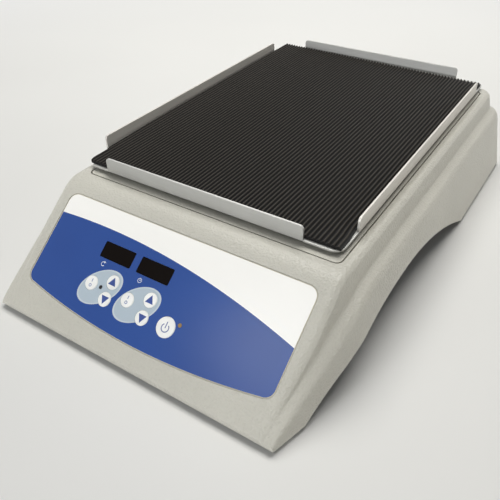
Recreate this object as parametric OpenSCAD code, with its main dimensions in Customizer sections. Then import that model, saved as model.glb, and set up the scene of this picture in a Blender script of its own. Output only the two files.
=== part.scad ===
/* [Case] */
// Overall length, front lip to the face of the power inlet
overall_l = 396; // [388:1:410]
// Overall width, measured where the side walls end at the bottom
overall_w = 262; // [256:1:272]
// Height of the flat deck above the table
deck_z = 66.4; // [64:0.2:70]
// Gap between the table and the bottom edge of the case
edge_z = 3; // [2.4:0.1:3.6]
// Height of the small upright lip along the front edge
lip_h = 3.2; // [2.6:0.1:4]
// Angle of the sloping front from level
slope_deg = 37.2; // [35:0.1:39]
// Wall of the moulded case
wall = 2.6; // [2.2:0.1:3]
// Outward lean of the side walls from upright
wall_lean = 12.7; // [10:0.1:15]
// Rounding of the rear corners, seen from above
rear_corner_r = 14; // [10:0.5:18]
// Rounding of the rear top edge
rear_edge_r = 5; // [3:0.5:7]

/* [Side ridges] */
// Rise of the upper ridge above the deck
ridge_rise = 1.9; // [1:0.1:2.5]
// Drop from the deck to the flute between the ridges
flute_drop = 9.2; // [7:0.1:11]
// Drop from the flute to the shoulder of the side wall
shoulder_drop = 7; // [5:0.1:9]
// Half width of the front edge, where both ridges run out
nose_half_w = 111.3; // [110:0.1:113]
// Length over which the ridges grow behind the front edge
fade_l = 62; // [50:1:70]

/* [Side arches] */
// Distance of each arch's crown in front of the case's middle
arch_y = 52; // [40:1:60]
// Half length of each arch at the bottom edge
arch_half_l = 122; // [110:1:130]
// Height of each arch above the bottom edge
arch_h = 29; // [22:0.5:32]

/* [Deck] */
// Width of the opening that the deck plate fills
opening_w = 204; // [200:1:207]
// Length of that opening
opening_l = 294; // [286:1:296]
// Middle of that opening behind the case's middle
opening_y = 39; // [37:0.5:40]
// Corner radius of that opening
opening_r = 5; // [3:0.5:8]
// Gap all round between the deck plate and the case
deck_gap = 1; // [0.6:0.1:1.4]
// Thickness of the flange that tucks under the case
deck_flange_t = 1.8; // [1.4:0.1:2.2]
// Reach of that flange past the opening
deck_flange_w = 3.5; // [2.5:0.5:3.5]

/* [Orbit] */
// Crank radius, half of the orbit's diameter
orbit_r = 7.5; // [6:0.5:8]
// Angle of the cranks at rest
rest_deg = 153.3; // [150:0.1:160]
// Middle of the orbit behind the case's middle
orbit_y = 44.5; // [42:0.5:46]

/* [Tray] */
// Width of the tray
tray_w = 212; // [200:1:214]
// Length of the tray
tray_l = 300; // [280:1:300]
// Sheet thickness of the tray
tray_t = 1.5; // [1:0.1:2]
// Underside of the tray above the deck
tray_lift = 2.2; // [2:0.1:4]
// Height of the tray's flanges above its underside
flange_h = 11.3; // [8:0.1:14]
// Length that each flange stops short of the corners
flange_gap = 25.5; // [20:0.5:32]
// Radius of the tray's corners
tray_r = 8; // [5:0.5:12]
// Radius at the upper ends of the flanges
flange_end_r = 3; // [1:0.5:5]
// Outer radius of the fold at the foot of the flanges
fold_r = 1.7; // [1.6:0.05:1.8]
// Radius of the two small holes near the ends of each flange
flange_hole_r = 1.25; // [1:0.05:1.5]
// Distance of those holes from the flange's end
flange_hole_in = 5; // [4:0.5:8]
// Height of those holes above the tray's underside
flange_hole_up = 6.4; // [5:0.1:7]
// Width of the rubber mat
mat_w = 208.4; // [190:0.1:208.6]
// Length of the rubber mat
mat_l = 296; // [270:1:297]
// Thickness of the rubber mat, ribs included
mat_t = 3; // [2.4:0.1:3.6]
// Distance from rib to rib of the mat
rib_pitch = 3; // [2.5:0.5:6]
// Height of the mat's ribs
rib_h = 1.4; // [1:0.1:1.6]
// How far the mat is cut short at its front left corner
mat_short_front = 5.7; // [3:0.1:10]
// Length of that cut along the left edge
mat_trim_l = 22; // [10:1:40]
// How far the mat's left edge comes in where that cut begins
mat_skew = 2.8; // [0.5:0.1:3]
// How far the mat is cut short at its rear right corner
mat_short_rear = 5.5; // [0:0.1:10]

/* [Front panel] */
// Width of the overlay
panel_w = 199.2; // [196:0.2:201]
// Distance up the slope to the overlay's top edge
panel_top = 90.1; // [88:0.1:91]
// Distance up the slope to the overlay's lowest point
panel_low = 12.5; // [11:0.1:15]
// Rise of the overlay's bottom edge at its corners
panel_bow = 8.5; // [5:0.1:10]
// Thickness of the overlay
panel_t = 0.5; // [0.3:0.05:0.6]
// Depth of its recess in the case
panel_recess = 0.7; // [0.65:0.05:0.9]
// Radius of the small keys
key_r = 5; // [4.6:0.1:5.2]
// Radius of the standby key
standby_r = 6.8; // [6:0.1:7.2]
// Travel of a key
key_travel = 0.4; // [0.3:0.05:0.5]
// Width of a display window
window_w = 26.6; // [25:0.1:27]
// Height of a display window
window_h = 11.4; // [10:0.1:12]

/* [Base] */
// Width of the base pan
pan_w = 194; // [188:1:195]
// Sheet thickness of the base pan
pan_t = 1.5; // [1.2:0.1:2]
// Height of the pan's underside above the table
pan_z = 4; // [3.6:0.1:5]
// Radius of a rubber foot
foot_r = 9; // [8:0.5:10]

/* [Drive] */
// Radius of the shafts and crank pins
shaft_r = 4; // [4:0.1:4.4]
// Outer radius of the ball bearings
bearing_r = 11; // [11:0.1:12]
// Width of the ball bearings
bearing_w = 7; // [6:0.1:7]
// Radius of the bearing balls
ball_r = 1.98; // [1.8:0.01:2]
// Balls in a bearing
ball_n = 7; // [6:1:7]
// Middle of the drive shaft behind the case's middle
drive_y = -20; // [-24:1:-16]
// Sideways place of the two idler shafts
idler_x = 66; // [64:1:67]
// Middle of the idler shafts behind the case's middle
idler_y = 100; // [96:1:102]
// Middle of the motor behind the case's middle
motor_y = 80; // [76:1:84]
// Radius of the flat motor
motor_r = 28; // [24:0.5:29]
// Belt radius on the drive pulley
big_pulley_r = 45; // [40:1:46]
// Belt radius on the motor pulley
small_pulley_r = 9; // [8:0.5:12]
// Width of the belt
belt_w = 6; // [5:0.5:7]
// Thickness of the belt
belt_t = 1.6; // [1:0.1:2]

/* [Power] */
// Sideways place of the power inlet
inlet_x = 45; // [40:1:50]
// Height of the power inlet's middle above the table
inlet_z = 32; // [30:0.5:34]
// Thickness of the inlet's flange
inlet_flange_t = 1.8; // [1.5:0.1:2.2]

/* [Hidden] */
$fn = 48;

// Gaps: a pressed seat, a running fit, and clear room between pieces
press_gap = 0.01;
run_gap = 0.1;
clear = 0.3;
cut = 1;

front_y = -overall_l / 2;
rear_y = overall_l / 2 - inlet_flange_t;
slope = tan(slope_deg);
lean = tan(wall_lean);
lip_z = edge_z + lip_h;
bend_y = front_y + (deck_z - lip_z) / slope;
bend_half = 7;
half_open = opening_w / 2;
shoulder_x = overall_w / 2 - lean * (deck_z - flute_drop - shoulder_drop - edge_z);

function smooth(a, b, u) = let (t = min(1, max(0, (u - a) / (b - a)))) t * t * (3 - 2 * t);
function mix(a, b, t) = a + (b - a) * t;
function arc(c, r, from, to, steps) =
    [for (i = [0 : steps]) c + r * [cos(mix(from, to, i / steps)), sin(mix(from, to, i / steps))]];

// Height of the top surface: the flat deck, a rounded bend and the sloping front
function top_z(y) =
    y > bend_y + bend_half ? deck_z
    : y > bend_y - bend_half ? deck_z - slope * pow(bend_y + bend_half - y, 2) / (4 * bend_half)
    : deck_z - slope * (bend_y - y);
// Growth of the ridges behind the front edge, from 0 to 1
function grown(y) = min(1, pow(max(0, y - front_y) / fade_l, 0.9));
// Rounding of the rear: how far the surface has come in at y
function rounding(y, r) = y < rear_y - r ? 0 : r - sqrt(max(0, r * r - pow(y - rear_y + r, 2)));
// Bottom edge of the side walls, with the arch
function bottom_z(y) =
    let (t = (y + arch_y) / arch_half_l)
    edge_z + arch_h * max(0, 1 - pow(abs(t), t < 0 ? 2.4 : 2));
// Height of the ridges across the band beside the deck: u is 0 at the opening, 1 at the shoulder
function ridge_z(u, grow) =
    let (crest = u < 0.36 ? pow(sin(500 * u), 2) : 0)
    let (turn = max(0, (u - 0.7) / 0.3))
    ridge_rise * grow * crest
    - mix(0.8, flute_drop, grow) * smooth(0.22, 0.68, u)
    - mix(1.6, shoulder_drop, grow) * (1 - sqrt(max(0, 1 - turn * turn)));
function shoulder_at(y) = mix(nose_half_w, shoulder_x, grown(y));
band_steps = 18;
function outer_half(y) =
    let (g = grown(y), edge = shoulder_at(y), ex = rounding(y, rear_corner_r), ez = rounding(y, rear_edge_r))
    let (band = [for (i = [0 : band_steps])
        let (u = sin(90 * i / band_steps))
        [mix(half_open, edge, u) - ex, top_z(y) + ridge_z(u, g) - ez]])
    let (low = band[band_steps], z = bottom_z(y))
    concat([[0, top_z(y) - ez], [half_open - 1 - ex, top_z(y) - ez]], [for (i = [1 : band_steps]) band[i]],
        [[low.x + lean * (low.y - z), z]]);
// The inside: a plainer section, one wall in from the outside
function inner_half(y) =
    let (g = grown(y), edge = shoulder_at(y))
    let (ex = rounding(y + wall, rear_corner_r), ez = rounding(y, rear_edge_r))
    let (roof = top_z(y) - wall / cos(y < bend_y ? slope_deg : 0) - ez)
    let (low_x = edge - wall - ex, low_z = top_z(y) + ridge_z(1, g) - wall - ez)
    let (floor_z = -10)
    [[0, roof], [mix(half_open, edge, 0.24) - ex, roof],
     [mix(half_open, edge, 0.5) - ex, top_z(y) + ridge_z(0.68, g) - wall - ez],
     [mix(half_open, edge, 0.8) - ex, top_z(y) + ridge_z(0.8, g) - wall - 0.6 - ez],
     [low_x, low_z], [low_x + lean * (low_z - floor_z), floor_z]];
function full_row(half, y) =
    [for (i = [len(half) - 1 : -1 : 1]) [-half[i].x, y, half[i].y],
     for (i = [0 : len(half) - 1]) [half[i].x, y, half[i].y]];

// A closed skin over rows of points. Each end is filled from its two bottom corners, so it may have hollows
module loft(rows) {
    n = len(rows[0]);
    m = len(rows);
    sides = [for (j = [0 : m - 2], i = [0 : n - 1], k = [0, 1])
        let (a = j * n + i, b = j * n + (i + 1) % n)
        k == 0 ? [a, b + n, b] : [a, a + n, b + n]];
    mid = floor((n - 1) / 2);
    near = concat(
        [for (i = [1 : mid - 1]) [0, i, i + 1]],
        [[0, mid, n - 1]],
        [for (i = [mid : n - 3]) [n - 1, i, i + 1]]);
    far = [for (f = near) [for (k = [2, 1, 0]) (m - 1) * n + f[k]]];
    polyhedron([for (row = rows) each row], concat(sides, near, far), convexity = 8);
}

// Rounded rectangle about the origin
module round_rect(w, l, r) {
    square([w - 2 * r, l], center = true);
    square([w, l - 2 * r], center = true);
    for (x = [-1, 1], y = [-1, 1]) translate([x * (w / 2 - r), y * (l / 2 - r)]) circle(r);
}
module plate(w, l, r, z, t) {
    translate([0, 0, z]) linear_extrude(t) round_rect(w, l, r);
}
// Places its children on the sloping front: x sideways, y up the slope, z out of the panel
module on_panel() {
    translate([0, front_y, lip_z]) rotate([slope_deg, 0, 0]) children();
}
// Places its children where the orbit has carried the tray at rest
orbit_x = orbit_r * cos(rest_deg);
orbit_dy = orbit_r * sin(rest_deg);
module at_orbit() {
    translate([orbit_x, orbit_dy, 0]) children();
}
module for_idlers() {
    for (x = [-1, 1]) translate([x * idler_x, idler_y, 0]) children();
}
module for_shafts() {
    translate([0, drive_y, 0]) children();
    for_idlers() children();
}
// A screw that points down from z, with its head on top
module screw(r, head_r, head_h, z, length) {
    translate([0, 0, z]) cylinder(r = head_r, h = head_h);
    translate([0, 0, z - length]) cylinder(r = r, h = length + head_h / 2);
}

// Sizes of the screws
m3_r = 1.5;
m4_r = 2;
m5_r = 2.5;

// Case
stations = [for (d = [0, 3, 7, 12, 18]) front_y + d,
    for (y = [front_y + 24 : 6 : bend_y - bend_half - 3]) y,
    for (i = [-2 : 2]) bend_y + bend_half * i / 2,
    for (y = [bend_y + bend_half + 5 : 7.5 : arch_half_l - arch_y - 4]) y,
    arch_half_l - arch_y, 0.5 * (arch_half_l - arch_y + rear_y - rear_corner_r),
    for (a = [0, 25, 45, 60, 72, 82, 90]) rear_y - rear_corner_r + rear_corner_r * sin(a)];
cavity_y = front_y + 14;
cavity_stations = [cavity_y, cavity_y + 20, bend_y - bend_half, bend_y, bend_y + bend_half,
    for (a = [0, 35, 60, 90]) rear_y - rear_corner_r + (rear_corner_r - wall) * sin(a)];
front_boss = [86, front_y + 48];
side_boss = [shoulder_x - 11.6, 120];
boss_r = 4.5;
boss_hole_r = m3_r + 0.05;
pan_top = pan_z + pan_t;
// Ribs that tie the rear screw bosses to the side walls
rib_t = 2;
rib_low = pan_top + 4;
rib_rise = 36;
function wall_mid(z) = overall_w / 2 - lean * (z - edge_z) - wall / 2;
inlet_hole = [27.6, 20];
inlet_screw_x = 20;
key_well_r = 0.4;
stem_r = 1.6;
board_in = 9.5;
board_t = 1.6;
board_x = [-66, 48];
board_s = [20, 78];
board_boss_r = 3.2;

// Places on the panel: sideways, then up the slope
speed_keys = [[-47.9, 37.5], [-32.2, 43.6], [-32.4, 31.4]];
time_keys = [[-16, 37.4], [-0.2, 43.5], [-0.2, 31.2]];
standby_at = [18.4, 32.6];
running_light_at = [-39.5, 37.4];
standby_light_at = [26.9, 37.3];
windows = [[-39, 61.6], [-6.9, 61.6]];
small_keys = concat(speed_keys, time_keys);
light_r = 1.3;
board_holes = [for (x = board_x, s = board_s) [x + (x < 0 ? 4 : -4), s + (s < 40 ? 4 : -4)]];

module housing_shell() {
    difference() {
        loft([for (y = stations) full_row(outer_half(y), y)]);
        loft([for (y = cavity_stations) full_row(inner_half(y), y)]);
    }
}
// Outline of the overlay: straight top and sides, a bottom edge that bows down
panel_corner = 7;
function panel_outline(grow) =
    let (w = panel_w / 2 + grow, top = panel_top + grow, r = panel_corner + grow, low = panel_low - grow)
    let (reach = w - r)
    let (sag = panel_bow)
    let (bow_r = (reach * reach + sag * sag) / (2 * sag))
    let (tilt = asin(reach / bow_r))
    concat(
        arc([reach, top - r], r, 0, 90, 6),
        arc([-reach, top - r], r, 90, 180, 6),
        arc([-reach, low + sag + r], r, 180, 270 - tilt, 6),
        arc([0, low + bow_r], bow_r, 270 - tilt, 270 + tilt, 24),
        arc([reach, low + sag + r], r, 270 + tilt, 360, 6));
module window_shape(grow, r) {
    round_rect(window_w + 2 * grow, window_h + 2 * grow, r);
}
module at_points(points) {
    for (p = points) translate([p.x, p.y, 0]) children();
}
module housing() {
    color([0.72, 0.715, 0.68])
    difference() {
        union() {
            housing_shell();
            for (x = [-1, 1]) {
                translate([x * front_boss.x, front_boss.y, pan_top])
                    cylinder(r = boss_r, h = top_z(front_boss.y) - slope * boss_r - pan_top - wall / 2);
                translate([x * side_boss.x, side_boss.y, pan_top])
                    cylinder(r = boss_r, h = deck_z - flute_drop - wall / 2 - pan_top);
            }
            for (x = [0, 1]) mirror([x, 0, 0])
                translate([0, side_boss.y + rib_t / 2, 0]) rotate([90, 0, 0]) linear_extrude(rib_t)
                    polygon([[side_boss.x, rib_low], [wall_mid(rib_low), rib_low],
                        [wall_mid(rib_low + rib_rise), rib_low + rib_rise], [side_boss.x, rib_low + rib_rise]]);
            on_panel() at_points(board_holes)
                translate([0, 0, -board_in]) cylinder(r = board_boss_r, h = board_in - wall / 2);
        }
        translate([0, opening_y, deck_z - wall - cut])
            linear_extrude(wall + 4) round_rect(opening_w, opening_l, opening_r);
        for (x = [-1, 1]) {
            translate([x * front_boss.x, front_boss.y, pan_top - cut])
                cylinder(r = boss_hole_r, h = 16 + cut);
            translate([x * side_boss.x, side_boss.y, pan_top - cut])
                cylinder(r = boss_hole_r, h = 16 + cut);
        }
        on_panel() {
            translate([0, 0, -panel_recess]) linear_extrude(5) polygon(panel_outline(0.4));
            at_points(small_keys) {
                translate([0, 0, -2]) cylinder(r = key_r + key_well_r, h = 3);
                translate([0, 0, -wall - cut]) cylinder(r = stem_r + 0.5, h = 4);
            }
            at_points([standby_at]) {
                translate([0, 0, -2]) cylinder(r = standby_r + key_well_r, h = 3);
                translate([0, 0, -wall - cut]) cylinder(r = stem_r + 0.5, h = 4);
            }
            at_points([running_light_at, standby_light_at])
                translate([0, 0, -wall - cut]) cylinder(r = light_r + 0.2, h = 4);
            at_points(windows)
                translate([0, 0, -wall - cut]) linear_extrude(5) window_shape(0.2, 1);
            at_points(board_holes) translate([0, 0, -board_in - cut]) cylinder(r = 1.25, h = 6);
        }
        translate([inlet_x, rear_y, inlet_z]) rotate([90, 0, 0]) {
            translate([0, 0, -cut]) linear_extrude(wall + 2 * cut) round_rect(inlet_hole.x, inlet_hole.y, 2);
            for (x = [-1, 1]) translate([x * inlet_screw_x, 0, -cut])
                cylinder(r = m3_r + 0.05, h = wall + 2 * cut);
        }
    }
}
// Tray posts pass through round holes that leave room for the orbit
post_r = 7;
post_at = [66, 88];
post_hole_r = post_r + orbit_r + 3;
module for_posts() {
    for (x = [-1, 1], y = [-1, 1]) translate([x * post_at.x, orbit_y + y * post_at.y, 0]) children();
}
deck_under = deck_z - wall;
module deck_plate() {
    color([0.66, 0.655, 0.62])
    difference() {
        union() {
            translate([0, opening_y, 0])
                plate(opening_w - 2 * deck_gap, opening_l - 2 * deck_gap, opening_r - deck_gap,
                    deck_under - deck_flange_t, wall + deck_flange_t);
            translate([0, opening_y, 0])
                plate(opening_w + 2 * deck_flange_w, opening_l + 2 * deck_flange_w, opening_r,
                    deck_under - deck_flange_t, deck_flange_t);
        }
        for_posts() translate([0, 0, deck_under - deck_flange_t - cut])
            cylinder(r = post_hole_r, h = wall + deck_flange_t + 2 * cut);
    }
}

// Base
pan_front = front_y + 18;
pan_rear = rear_y - wall - 2;
pan_l = pan_rear - pan_front;
pan_mid = (pan_front + pan_rear) / 2;
pan_wall_top = deck_under - deck_flange_t;
// Feet: in from the pan's sides, then back from the front and in from the rear
foot_at = [pan_w / 2 - 15, 30, 22];
foot_h = pan_z;
foot_recess_r = 4.2;
foot_recess_h = 2.2;
block_flange_r = 24.6;
block_bolt_r = 20.6;
motor_slot_at = [27, 24];
motor_plate_w = 66;
motor_plate_t = 3;
module for_feet() {
    for (x = [-1, 1]) {
        translate([x * foot_at.x, front_y + foot_at.y, 0]) children();
        translate([x * foot_at.x, rear_y - foot_at.z, 0]) children();
    }
}
module for_block_bolts() {
    for_shafts() for (a = [45 : 90 : 315]) rotate(a) translate([block_bolt_r, 0, 0]) children();
}
module for_motor_bolts() {
    for (x = [-1, 1], y = [-1, 1])
        translate([x * motor_slot_at.x, motor_y + y * motor_slot_at.y, 0]) children();
}
module for_case_screws() {
    for (x = [-1, 1]) {
        translate([x * front_boss.x, front_boss.y, 0]) children();
        translate([x * side_boss.x, side_boss.y, 0]) children();
    }
}
power_board_size = [66, 48];
power_board_at = [-pan_w / 2 + power_board_size.x / 2 + 14, pan_rear - power_board_size.y / 2 - 9.6];
module for_power_posts() {
    for (x = [-1, 1], y = [-1, 1])
        translate([power_board_at.x + x * (power_board_size.x / 2 - 4),
            power_board_at.y + y * (power_board_size.y / 2 - 4), 0]) children();
}
vent_n = 7;
vent_pitch = 8;
module base_pan() {
    low = pan_top - cut;
    color([0.3, 0.31, 0.32])
    difference() {
        union() {
            translate([0, pan_mid, 0]) plate(pan_w, pan_l, 4, pan_z, pan_t);
            for (x = [-1, 1]) {
                translate([x * (pan_w / 2 - pan_t / 2) - pan_t / 2, 0, 0])
                    rotate([90, 0, 90]) linear_extrude(pan_t) polygon([
                        [pan_front + 4, low], [pan_rear - 4, low], [pan_rear - 4, 40],
                        [opening_y + opening_l / 2, pan_wall_top],
                        [bend_y + 14, pan_wall_top],
                        [bend_y, pan_wall_top - 6],
                        [pan_front + 4, top_z(pan_front + 4) - 7]]);
                translate([x * (side_boss.x + 5) / 2 - (side_boss.x + 5) / 2, side_boss.y - 9, pan_z])
                    cube([side_boss.x + 5, 18, pan_t]);
            }
            translate([-pan_w / 2 + 6, pan_front, low]) cube([pan_w - 12, pan_t, 4]);
            translate([-pan_w / 2 + 6, pan_rear - pan_t, low]) cube([pan_w - 12, pan_t, 8]);
            for_feet() translate([0, 0, low]) cylinder(r = 3.4, h = 3 + cut);
            for_power_posts() translate([0, 0, low]) cylinder(r = 3, h = 5 + cut);
        }
        for_feet() translate([0, 0, pan_z - cut]) cylinder(r = m3_r + 0.05, h = 8);
        for_power_posts() translate([0, 0, pan_z - cut]) cylinder(r = 1.3, h = 9);
        for_case_screws() translate([0, 0, pan_z - cut]) cylinder(r = m3_r + 0.25, h = 4);
        for_block_bolts() translate([0, 0, pan_z - cut]) cylinder(r = m4_r + 0.05, h = 4);
        for_motor_bolts() translate([0, 0, pan_z - cut]) cylinder(r = m4_r + 0.05, h = 4);
        for (i = [0 : vent_n - 1])
            translate([(i - (vent_n - 1) / 2) * vent_pitch, front_y + 100, pan_z - cut]) {
                translate([-1.5, -17, 0]) cube([3, 34, 4]);
                for (y = [-17, 17]) translate([0, y, 0]) cylinder(r = 1.5, h = 4);
            }
    }
}
module rubber_feet() {
    color([0.1, 0.1, 0.1])
    for_feet() rotate_extrude() polygon([
        [m3_r + 0.2, foot_recess_h], [foot_recess_r, foot_recess_h], [foot_recess_r, 0],
        [foot_r - 1, 0], [foot_r, 1], [foot_r, foot_h], [m3_r + 0.2, foot_h]]);
}
module foot_screws() {
    head_h = 1.4;
    color([0.6, 0.6, 0.6])
    for_feet() translate([0, 0, foot_recess_h]) mirror([0, 0, 1]) screw(m3_r, 2.8, head_h, 0, 5.8);
}
module case_screws() {
    color([0.6, 0.6, 0.6])
    for_case_screws() translate([0, 0, pan_z]) mirror([0, 0, 1]) screw(m3_r, 2.8, 1.6, 0, 14);
}

// Front panel
module control_overlay() {
    color([0.92, 0.92, 0.9])
    on_panel() translate([0, 0, -panel_recess]) difference() {
        linear_extrude(panel_t) polygon(panel_outline(0));
        at_points(small_keys) translate([0, 0, -cut]) cylinder(r = key_r + clear, h = 3);
        at_points([standby_at]) translate([0, 0, -cut]) cylinder(r = standby_r + clear, h = 3);
        at_points([running_light_at, standby_light_at]) translate([0, 0, -cut])
            cylinder(r = light_r + 0.1, h = 3);
        at_points(windows) translate([0, 0, -cut]) linear_extrude(3) window_shape(0, 1);
    }
}
overlay_top = panel_t - panel_recess;
module window_lens(i) {
    color([0.05, 0.05, 0.05])
    on_panel() at_points([windows[i]])
        translate([0, 0, -wall + 0.1]) linear_extrude(wall - 0.1 + overlay_top) window_shape(-0.15, 0.85);
}
module speed_window() {
    window_lens(0);
}
module time_window() {
    window_lens(1);
}
key_top = 0.05;
key_cap_t = 1.25;
switch_h = 3.6;
switch_top = -board_in + switch_h;
stem_end = switch_top - 1.4;
module key(at, r) {
    on_panel() translate([at.x, at.y, 0]) {
        translate([0, 0, key_top - key_cap_t]) cylinder(r = r, h = key_cap_t);
        translate([0, 0, stem_end]) cylinder(r = stem_r, h = key_top - 0.5 - stem_end);
    }
}
module speed_power_key() {
    color([0.95, 0.95, 0.95]) key(speed_keys[0], key_r);
}
module speed_up_key() {
    color([0.95, 0.95, 0.95]) key(speed_keys[1], key_r);
}
module speed_down_key() {
    color([0.95, 0.95, 0.95]) key(speed_keys[2], key_r);
}
module time_power_key() {
    color([0.95, 0.95, 0.95]) key(time_keys[0], key_r);
}
module time_up_key() {
    color([0.95, 0.95, 0.95]) key(time_keys[1], key_r);
}
module time_down_key() {
    color([0.95, 0.95, 0.95]) key(time_keys[2], key_r);
}
module standby_key() {
    color([0.95, 0.95, 0.95]) key(standby_at, standby_r);
}
module light(at) {
    on_panel() translate([at.x, at.y, 0]) {
        translate([0, 0, -board_in]) cylinder(r = light_r, h = board_in + overlay_top);
        translate([0, 0, -board_in]) cylinder(r = light_r + 0.8, h = 2);
    }
}
module running_light() {
    color([0.1, 0.1, 0.1]) light(running_light_at);
}
module standby_light() {
    color([0.75, 0.5, 0.1]) light(standby_light_at);
}
module control_board() {
    color([0.1, 0.35, 0.2])
    on_panel() difference() {
        translate([board_x[0], board_s[0], -board_in - board_t])
            cube([board_x[1] - board_x[0], board_s[1] - board_s[0], board_t]);
        at_points(board_holes) translate([0, 0, -board_in - board_t - cut])
            cylinder(r = m3_r + 0.1, h = board_t + 2 * cut);
    }
}
module display_modules() {
    color([0.85, 0.85, 0.82])
    on_panel() at_points(windows) translate([0, 0, -board_in])
        linear_extrude(board_in - wall - 0.2) square([window_w + 2, window_h + 3], center = true);
}
module key_switches() {
    color([0.15, 0.15, 0.15])
    on_panel() at_points(concat(small_keys, [standby_at])) translate([0, 0, -board_in]) difference() {
        linear_extrude(switch_h) square(6, center = true);
        translate([0, 0, 1]) cylinder(r = stem_r + run_gap, h = switch_h);
    }
}
module board_screws() {
    color([0.6, 0.6, 0.6])
    on_panel() at_points(board_holes) translate([0, 0, -board_in - board_t]) mirror([0, 0, 1])
        screw(1.2, 2.6, 1.5, 0, 6);
}

// Drive: heights of the stack above the pan
block_h = 28;
block_r = 15;
block_top = pan_top + block_h;
crank_z = block_top + 1;
crank_seat = 4.5;
pin_z = crank_z + crank_seat + 0.5;
belt_z = crank_z + 1.5;
hub_top = crank_z + 11.5;
collar_top = hub_top + 2;
bearing_top = collar_top + bearing_w;
pin_top = bearing_top + 1;
carriage_z = collar_top + 2.5;
carriage_t = 4;
carriage_top = carriage_z + carriage_t;
race_r = ball_r + 0.07;
pitch_r = (shaft_r + bearing_r) / 2;
ring_gap_r = 1.1;
module bearing_block() {
    rotate_extrude() polygon([
        [bearing_r - 2, bearing_w], [bearing_r + press_gap, bearing_w], [bearing_r + press_gap, 0],
        [block_flange_r, 0], [block_flange_r, 4], [block_r + 2, 4], [block_r, 7], [block_r, block_h],
        [bearing_r + press_gap, block_h], [bearing_r + press_gap, block_h - bearing_w],
        [bearing_r - 2, block_h - bearing_w]]);
}
module drilled_block() {
    difference() {
        translate([0, 0, pan_top]) bearing_block();
        for (a = [45 : 90 : 315]) rotate(a) translate([block_bolt_r, 0, pan_top - cut])
            cylinder(r = m4_r + 0.1, h = 4 + 2 * cut);
    }
}
module main_bearing_block() {
    color([0.7, 0.71, 0.72]) translate([0, drive_y, 0]) drilled_block();
}
module idler_bearing_blocks() {
    color([0.7, 0.71, 0.72]) for_idlers() drilled_block();
}
module block_screws() {
    color([0.6, 0.6, 0.6])
    for_block_bolts() screw(m4_r, 3.3, 2.4, pan_top + 4, 5.5);
}
module outer_ring() {
    rotate_extrude() difference() {
        translate([pitch_r + ring_gap_r, 0]) square([bearing_r - pitch_r - ring_gap_r, bearing_w]);
        translate([pitch_r, bearing_w / 2]) circle(race_r);
    }
}
module inner_ring() {
    inner = shaft_r + press_gap;
    rotate_extrude() difference() {
        translate([inner, 0]) square([pitch_r - ring_gap_r - inner, bearing_w]);
        translate([pitch_r, bearing_w / 2]) circle(race_r);
    }
}
module balls() {
    for (i = [0 : ball_n - 1]) rotate(i * 360 / ball_n) translate([pitch_r, 0, bearing_w / 2]) sphere(ball_r);
}
module at_shaft_bearings() {
    for (z = [pan_top, block_top - bearing_w]) translate([0, 0, z]) children();
}
module at_pin_bearing() {
    translate([0, 0, collar_top]) children();
}
module shaft_bearing_outer_rings() {
    color([0.75, 0.76, 0.78]) for_shafts() at_shaft_bearings() outer_ring();
}
module shaft_bearing_balls() {
    color([0.85, 0.85, 0.87]) for_shafts() at_shaft_bearings() balls();
}
module crank_rings() {
    color([0.75, 0.76, 0.78]) {
        at_shaft_bearings() inner_ring();
        at_orbit() at_pin_bearing() inner_ring();
    }
}
module shaft() {
    color([0.6, 0.61, 0.63])
    translate([0, 0, pan_top + 0.4]) cylinder(r = shaft_r, h = crank_z + crank_seat - pan_top - 0.4);
}
module crank_pin(from, collar_from) {
    color([0.6, 0.61, 0.63])
    at_orbit() {
        translate([0, 0, from]) cylinder(r = shaft_r, h = pin_top - from);
        translate([0, 0, collar_from]) cylinder(r = shaft_r + 1.4, h = collar_top - collar_from);
    }
}
module main_inner_rings() {
    translate([0, drive_y, 0]) crank_rings();
}
module main_shaft() {
    translate([0, drive_y, 0]) shaft();
}
module main_crank_pin() {
    translate([0, drive_y, 0]) crank_pin(pin_z, hub_top);
}
flange_rim = 1.2;
web_z = crank_z + 3;
web_t = 4;
hub_r = shaft_r + orbit_r + 2.5;
rim_in = big_pulley_r - 3;
cw_r = [hub_r + 2, rim_in - 2];
cw_t = hub_top - web_z - web_t;
cw_screw_r = 28;
module pulley_rim(r, inner, z, w) {
    translate([0, 0, z]) rotate_extrude() polygon([
        [inner, 0], [r + belt_t + 0.8, 0], [r + belt_t + 0.8, flange_rim - 0.4], [r, flange_rim],
        [r, w - flange_rim], [r + belt_t + 0.8, w - flange_rim + 0.4], [r + belt_t + 0.8, w], [inner, w]]);
}
belt_room = belt_w + 2 * clear;
module drive_pulley() {
    color([0.24, 0.24, 0.25])
    translate([0, drive_y, 0]) difference() {
        union() {
            pulley_rim(big_pulley_r, rim_in, belt_z - clear - flange_rim, belt_room + 2 * flange_rim);
            translate([0, 0, web_z]) cylinder(r = rim_in + 0.5, h = web_t);
            translate([0, 0, crank_z]) cylinder(r = hub_r, h = hub_top - crank_z);
        }
        translate([0, 0, crank_z - cut]) cylinder(r = shaft_r + press_gap, h = crank_seat + cut);
        at_orbit() translate([0, 0, pin_z]) cylinder(r = shaft_r + press_gap, h = 20);
        for (a = [-60, 0, 60]) rotate(rest_deg + a) translate([cw_screw_r, 0, web_z - cut])
            cylinder(r = 8, h = web_t + 2 * cut);
        for (a = [-35, 35]) rotate(rest_deg + 180 + a) translate([cw_screw_r, 0, web_z - cut])
            cylinder(r = m4_r + 0.05, h = web_t + 2 * cut);
    }
}
module counterweight() {
    color([0.45, 0.46, 0.48])
    translate([0, drive_y, web_z + web_t]) rotate(rest_deg + 180) difference() {
        linear_extrude(cw_t) polygon(concat(
            arc([0, 0], cw_r[1], -62, 62, 20), arc([0, 0], cw_r[0], 62, -62, 12)));
        for (a = [-35, 35]) rotate(a) translate([cw_screw_r, 0, -cut]) {
            cylinder(r = m4_r + 0.1, h = cw_t + 2 * cut);
            translate([0, 0, cw_t - 1.2 + cut]) cylinder(r = 3.6, h = 4);
        }
    }
}
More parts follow.
